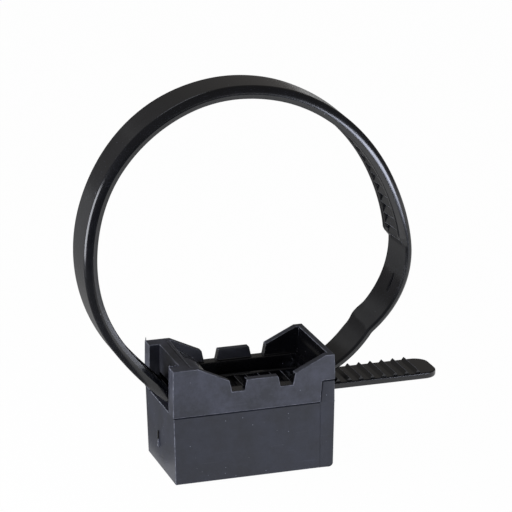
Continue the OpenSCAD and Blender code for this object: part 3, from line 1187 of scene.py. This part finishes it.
    def _finish_of(self, face: BMFace) -> Finish:
        """Finish of a face, by its place: rims with painted highlight, the inside with painted shade, and
        the two halves of the outside.

        Args:
            face: Face of the saddle.

        Returns:
            The finish.
        """
        centre = face.calc_center_median()
        inside = abs(centre.y) < self.outer_skin and abs(centre.x) < self.half_length - self.end_margin
        above_foot = inside and centre.z > self.foot_margin
        between_walls = abs(centre.y) < self.inner_skin
        # Rounded edges get a paler painted highlight, apart from inside corners and those that lie deep
        on_pawl = abs(centre.y) < self.inner_skin + self.pawl_margin and centre.z < self.pawl_height
        deep = inside and (centre.z < self.rim_height or on_pawl)
        if face.smooth and face.material_index == 0 and not deep:
            return Finish.RUBBED_EDGE
        # The bay beside the end plate is polished right up its walls, with the core's painted shade
        in_bay = above_foot and self.bay_start < centre.x < self.bay_end
        if in_bay and abs(centre.y) < self.inner_skin + self.bay_margin:
            return Finish.CORE
        # Elsewhere inside, the upper walls and those of the strap's entry are duller than the rest, which
        # carries the core's painted shade
        ledge = between_walls and centre.z < self.rim_height
        if above_foot and (face.normal.z < self.steep or ledge):
            if centre.x < self.slot_end:
                return Finish.INNER_WALL
            upright = centre.z > self.rim_height - self.rim_margin and abs(face.normal.y) > self.steep
            return Finish.INNER_WALL if upright else Finish.CORE
        # The ramp below the shelf takes the core's painted shade as well
        on_ramp = inside and between_walls and self.steep < face.normal.z < self.level
        if on_ramp and centre.z < self.top_height - self.shelf_margin:
            return Finish.CORE
        # The outside changes at the seam, which steps up beside the end plate
        in_step = centre.x > self.half_length - self.step_width and centre.z < self.step_height
        upper = centre.z > self.seam_height and not in_step
        return Finish.UPPER_SADDLE if upper else Finish.LOWER_SADDLE

    def _add_marks(self, bm: BMesh) -> None:
        """Adds what the mould left: the torn gate on the end face, and flash on the posts.

        Args:
            bm: Mesh of the saddle.
        """
        for mark in self.marks:
            turn = Matrix.Rotation(math.radians(mark.turn), 4, "X")
            grow = Matrix.Diagonal((*mark.size, 1.0))
            made = bmesh.ops.create_cone(
                bm, cap_ends=True, segments=mark.sides, radius1=mark.RADIUS,
                radius2=mark.RADIUS * mark.taper, depth=1.0,
                matrix=Matrix.Translation(mark.place) @ turn @ grow,
            )
            for face in {f for v in made["verts"] for f in v.link_faces}:
                face.material_index = self.finishes.index(mark.finish)

    def build(self) -> bpy.types.Object:
        """Builds and dresses the saddle.

        Returns:
            The saddle's object.
        """
        bm = self.build_body()
        for face in bm.faces:
            face.material_index = self.finishes.index(self._finish_of(face))
        self._add_marks(bm)
        bmesh.ops.scale(bm, vec=(MM, MM, MM), verts=bm.verts)
        return finished_object(bm, "saddle", self.finishes, self.smooth_below)


@dataclass(frozen=True)
class SoftBox:
    """A rectangular lamp, in metres and watts; gloss shows the box itself if it is mirrored."""

    name: str
    place: tuple[float, float, float]
    aim: tuple[float, float, float]
    size: tuple[float, float]
    watts: float
    colour: str
    mirrored: bool = True

    def build(self) -> None:
        """Hangs the lamp at its place and turns it to its aim."""
        lamp = bpy.data.lights.new(self.name, "AREA")
        lamp.shape = "RECTANGLE"
        lamp.size, lamp.size_y = self.size
        lamp.energy = self.watts
        lamp.color = linear_colour(self.colour)[:3]
        box = linked_object(self.name, lamp)
        box.location = self.place
        box.rotation_euler = (Vector(self.aim) - Vector(self.place)).to_track_quat("-Z", "Y").to_euler()
        box.visible_camera = False
        box.visible_glossy = self.mirrored


@dataclass(frozen=True)
class Card:
    """A lit card that only gloss sees, between two corners in metres.

    A card lies at a height in mm over the floor. One that stands has its corners in x and z, and
    its distance in mm behind the middle of the clip, which is negative in front.
    """

    name: str
    low: tuple[float, float]
    high: tuple[float, float]
    grey: str
    glow: float = 1.0
    distance_mm: float = 0.5
    standing: bool = False

    def build(self) -> None:
        """Sets the card up, out of sight of the camera and of diffuse light."""
        bm = bmesh.new()
        size = Matrix.Diagonal((self.high[0] - self.low[0], self.high[1] - self.low[1], 1, 1))
        middle = [(low + high) / 2 for low, high in zip(self.low, self.high)]
        place = Matrix.Translation(Vector((*middle, self.distance_mm * MM))) @ size
        if self.standing:
            place = Matrix.Rotation(math.pi / 2, 4, "X") @ Matrix.Scale(-1, 4, (0, 0, 1)) @ place
        bmesh.ops.create_grid(bm, x_segments=1, y_segments=1, size=0.5, matrix=place)
        mesh = mesh_from(bm, self.name)
        material = bare_material(self.name)
        tree = material.node_tree
        lit = add_node(
            tree,
            "ShaderNodeEmission",
            inputs={"Color": linear_colour(self.grey), "Strength": self.glow},
        )
        add_node(tree, "ShaderNodeOutputMaterial", inputs={"Surface": lit.outputs["Emission"]})
        mesh.materials.append(material)
        card = linked_object(self.name, mesh)
        card.visible_camera = False
        card.visible_diffuse = False
        card.visible_shadow = False


@dataclass
class Studio:
    """Plain pale floor, soft boxes, cards and the camera at the photograph's angle."""

    # Floor, with its reach in metres, and world
    floor_reach: float = 4.0
    floor_drop_mm: float = 0.02
    floor_colour: str = "#f4f4f4"
    floor_white_share: float = 0.985
    world_colour: str = "#d8d4d0"
    world_strength: float = 0.22
    # Camera fitted to the photograph, with angles in degrees and its range in metres
    picture_px: float = 512.0
    focal_px: float = 2805.0
    sensor_mm: float = 36.0
    camera_mm: tuple[float, float, float] = (-160.2, -516.0, 209.0)
    azimuth: float = -17.621
    elevation: float = 17.035
    roll: float = -0.419
    nudge_px: tuple[float, float] = (0.4, 0.6)
    seen_from: float = 0.01
    seen_to: float = 20.0
    soft_boxes: tuple[SoftBox, ...] = (
        SoftBox("left_box", (-0.15, 0.0, 0.06), (0.0, 0.0, 0.06), (0.11, 0.085), 0.25, "#f4f6ff"),
        SoftBox(
            "right_box", (0.139, -0.169, 0.038), (0.028, -0.005, 0.064), (0.085, 0.042), 0.19, "#e4eaff"
        ),
        SoftBox("top_box", (-0.10, 0.26, 0.47), (0.0, 0.0, 0.04), (0.22, 0.14), 0.145, "#eef2ff"),
        SoftBox(
            "front_box", (-0.36, -0.60, 0.16), (0.0, 0.0, 0.04), (0.35, 0.25), 1.52, "#d4ddff",
            mirrored=False,
        ),
    )
    cards: tuple[Card, ...] = (
        Card("front_card", (-3.50, -3.50), (0.25, -0.125), "#4c4c4c"),
        Card("near_card", (-0.027, -0.085), (-0.002, -0.055), "#ffffff", glow=1.5, distance_mm=0.7),
        Card("left_card", (-3.50, -0.125), (-0.028, 0.0), "#808080"),
        Card("back_card", (-0.018, 0.06), (0.02, 3.5), "#656565"),
        Card("back_right_card", (0.02, 0.03), (0.60, 3.5), "#959595"),
        Card("back_left_card", (-1.50, 0.0), (-0.018, 3.5), "#909090"),
        Card(
            "backdrop_card", (-0.85, 0.45), (-0.36, 0.85), "#a0a0a0", distance_mm=1000.0, standing=True
        ),
        Card(
            "entry_flag", (0.009, 0.020), (0.030, 0.038), "#ffffff", glow=1.5, distance_mm=-48.0,
            standing=True,
        ),
    )

    def build_floor(self) -> bpy.types.Object:
        """Lays a white floor that keeps the clip's shadow.

        Returns:
            The floor's object.
        """
        bm = bmesh.new()
        bmesh.ops.create_grid(bm, x_segments=1, y_segments=1, size=self.floor_reach)
        bmesh.ops.translate(bm, verts=bm.verts, vec=(0, 0, -self.floor_drop_mm * MM))
        mesh = mesh_from(bm, "floor")
        material = bare_material("pale_floor")
        tree = material.node_tree
        # Straight views and reflections see nearly pure white, with a little of the shadow left in it
        path = add_node(tree, "ShaderNodeLightPath")
        seen = path.outputs["Is Camera Ray"]
        for ray in ("Is Glossy Ray", "Is Transmission Ray"):
            either = add_node(
                tree, "ShaderNodeMath", {"operation": "MAXIMUM"}, {0: seen, 1: path.outputs[ray]}
            )
            seen = either.outputs["Value"]
        share = add_node(
            tree, "ShaderNodeMath", {"operation": "MULTIPLY"}, {0: seen, 1: self.floor_white_share}
        )
        paper = add_node(tree, "ShaderNodeBsdfDiffuse", inputs={"Color": linear_colour(self.floor_colour)})
        white = add_node(
            tree, "ShaderNodeEmission", inputs={"Color": (1.0, 1.0, 1.0, 1.0), "Strength": 1.0}
        )
        mixed = add_node(
            tree,
            "ShaderNodeMixShader",
            inputs={0: share.outputs["Value"], 1: paper.outputs["BSDF"], 2: white.outputs["Emission"]},
        )
        add_node(tree, "ShaderNodeOutputMaterial", inputs={"Surface": mixed.outputs["Shader"]})
        mesh.materials.append(material)
        floor = linked_object("floor", mesh)
        return floor

    def light(self) -> None:
        """Sets the world, the soft boxes and the cards."""
        world = bpy.data.worlds.new("studio")
        world.use_nodes = True
        tree = world.node_tree
        tree.nodes.clear()
        glow = add_node(
            tree,
            "ShaderNodeBackground",
            inputs={"Color": linear_colour(self.world_colour), "Strength": self.world_strength},
        )
        add_node(tree, "ShaderNodeOutputWorld", inputs={"Surface": glow.outputs["Background"]})
        bpy.context.scene.world = world
        for box in self.soft_boxes:
            box.build()
        for card in self.cards:
            card.build()

    def place_camera(self) -> bpy.types.Object:
        """Places the camera at the photograph's angle.

        Returns:
            The camera's object.
        """
        a, e, r = (math.radians(x) for x in (self.azimuth, self.elevation, self.roll))
        right = Vector((math.cos(a), math.sin(a), 0))
        up = Vector((-math.sin(a) * math.sin(e), math.cos(a) * math.sin(e), math.cos(e)))
        back = right.cross(up)
        turned_right = math.cos(r) * right + math.sin(r) * up
        turned_up = math.cos(r) * up - math.sin(r) * right
        lens = bpy.data.cameras.new("camera")
        lens.sensor_width = self.sensor_mm
        lens.lens = self.focal_px / self.picture_px * self.sensor_mm
        lens.shift_x, lens.shift_y = (n / self.picture_px for n in self.nudge_px)
        lens.clip_start, lens.clip_end = self.seen_from, self.seen_to
        camera = linked_object("camera", lens)
        turn = Matrix((turned_right, turned_up, back)).transposed()
        camera.matrix_world = Matrix.Translation(Vector(self.camera_mm) * MM) @ turn.to_4x4()
        bpy.context.scene.camera = camera
        return camera

    def build(self) -> None:
        """Builds the floor, the light and the camera."""
        self.build_floor()
        self.light()
        self.place_camera()
        bpy.context.scene.view_settings.view_transform = "Standard"


def main() -> None:
    """Builds the clip's pieces in order, then the studio around them."""
    logging.basicConfig(level=logging.INFO, format="%(name)s: %(message)s")
    pieces = [Saddle().build()]
    pieces += Strap(StrapRoute()).build()
    for piece in pieces:
        LOG.info("%s: %d faces", piece.name, len(piece.data.polygons))
    Studio().build()


if __name__ == "__main__":
    main()
